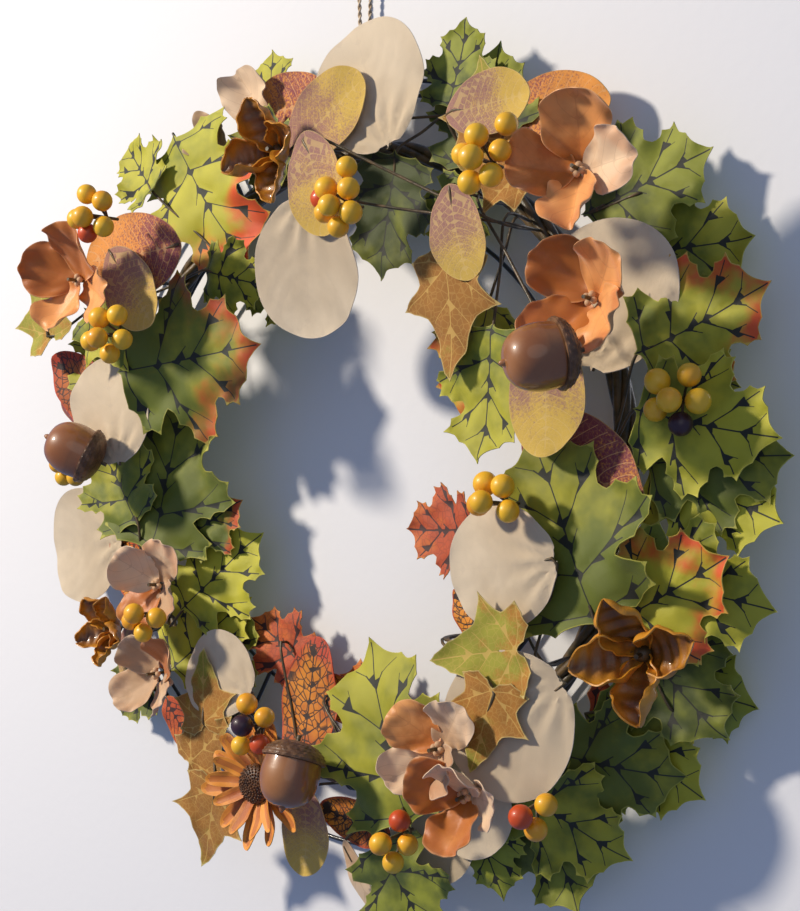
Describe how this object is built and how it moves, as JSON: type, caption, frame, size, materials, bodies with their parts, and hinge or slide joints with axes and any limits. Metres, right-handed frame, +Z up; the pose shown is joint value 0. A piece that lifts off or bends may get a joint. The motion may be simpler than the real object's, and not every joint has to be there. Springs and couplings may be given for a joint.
{
  "type": "door wreath",
  "caption": "Harvest door wreath: a wire ring covered in fabric leaves, berries, acorns, dried pods and blooms, hung from a loop of jute twine.",
  "frame": {"origin": "point of the hook that the twine loop hangs on", "axes": "+Z up, -Y out of the wreath's front, +Y towards the door"},
  "size_m": [0.5052, 0.1256, 0.537],
  "materials": {
    "green_cloth": "printed polyester leaf cloth with dark veins, matt with a faint sheen",
    "plum_cloth": "printed leaf cloth, plum running to amber, pale veins",
    "cream_linen": "coarse cream linen-look leaf cloth, matt",
    "amber_cloth": "printed leaf cloth, amber with black vein net",
    "ivy_cloth": "printed ivy cloth, olive and rust with pale edges",
    "mauve_yellow_cloth": "printed leaf cloth, mauve at the stem running to yellow",
    "petal_cloth": "thin satin petal cloth, peach to burnt orange",
    "daisy_cloth": "satin petal cloth, burnt orange",
    "seed_pile": "flocked dark brown seed head",
    "dried_husk": "dried and curled gold husk",
    "berry_lacquer": "satin lacquered foam berry",
    "acorn_shell": "glossy caramel brown shell",
    "acorn_cap": "scaly matt brown cap",
    "black_wire": "black painted steel wire",
    "stem_tape": "brown floral tape over bundled stems",
    "jute_twine": "natural jute, two plies"
  },
  "bodies": {
    "hanger": {"hanger_twine": "jute_twine", "hanger_hitch": "jute_twine"},
    "wreath": {"acorn_cap_bottom": "acorn_cap", "acorn_cap_left": "acorn_cap", "acorn_cap_right": "acorn_cap", "acorn_nut_bottom": "acorn_shell", "acorn_nut_left": "acorn_shell", "acorn_nut_right": "acorn_shell", "amber_spray_bottom": "amber_cloth", "amber_spray_left": "amber_cloth", "amber_spray_lower_left": "amber_cloth", "berries_bottom": "berry_lacquer", "berries_bottom_right": "berry_lacquer", "berries_far_left": "berry_lacquer", "berries_inner_right": "berry_lacquer", "berries_left": "berry_lacquer", "berries_lower_left": "berry_lacquer", "berries_lower_middle": "berry_lacquer", "berries_right": "berry_lacquer", "berries_top": "berry_lacquer", "berries_upper_right": "berry_lacquer", "binding_wire_1": "black_wire", "binding_wire_2": "black_wire", "binding_wire_3": "black_wire", "cream_spray_bottom": "cream_linen", "cream_spray_inner_right": "cream_linen", "cream_spray_inner_top": "cream_linen", "cream_spray_left": "cream_linen", "cream_spray_right": "cream_linen", "cream_spray_top": "cream_linen", "daisy_eye": "seed_pile", "daisy_petals": "daisy_cloth", "garland_stem": "stem_tape", "hydrangea_bottom": "petal_cloth", "hydrangea_lower_left": "petal_cloth", "hydrangea_right": "petal_cloth", "hydrangea_upper_left": "petal_cloth", "ivy_spray_bottom_left": "ivy_cloth", "ivy_spray_left": "ivy_cloth", "ivy_spray_lower_right": "ivy_cloth", "ivy_spray_right": "ivy_cloth", "oak_spray_bottom": "green_cloth", "oak_spray_bottom_right": "green_cloth", "oak_spray_inner_right": "green_cloth", "oak_spray_left_inner": "green_cloth", "oak_spray_left_upper": "green_cloth", "oak_spray_lower_left": "green_cloth", "oak_spray_lower_right": "green_cloth", "oak_spray_right": "green_cloth", "oak_spray_right_big": "green_cloth", "oak_spray_top": "green_cloth", "oak_spray_upper_left": "green_cloth", "oak_spray_upper_right": "green_cloth", "oval_spray_right": "mauve_yellow_cloth", "plum_spray_right": "plum_cloth", "plum_spray_top": "plum_cloth", "pod_left": "dried_husk", "pod_right": "dried_husk", "pod_upper_left": "dried_husk", "wire_frame": "black_wire"}
  },
  "joints": [
    {"name": "hanger_swing", "type": "hinge", "parent": "hanger", "child": "wreath", "pos_m": [0, 0, -0.073], "axis": [1, 0, 0], "range_deg": [-60, 0]}
  ]
}
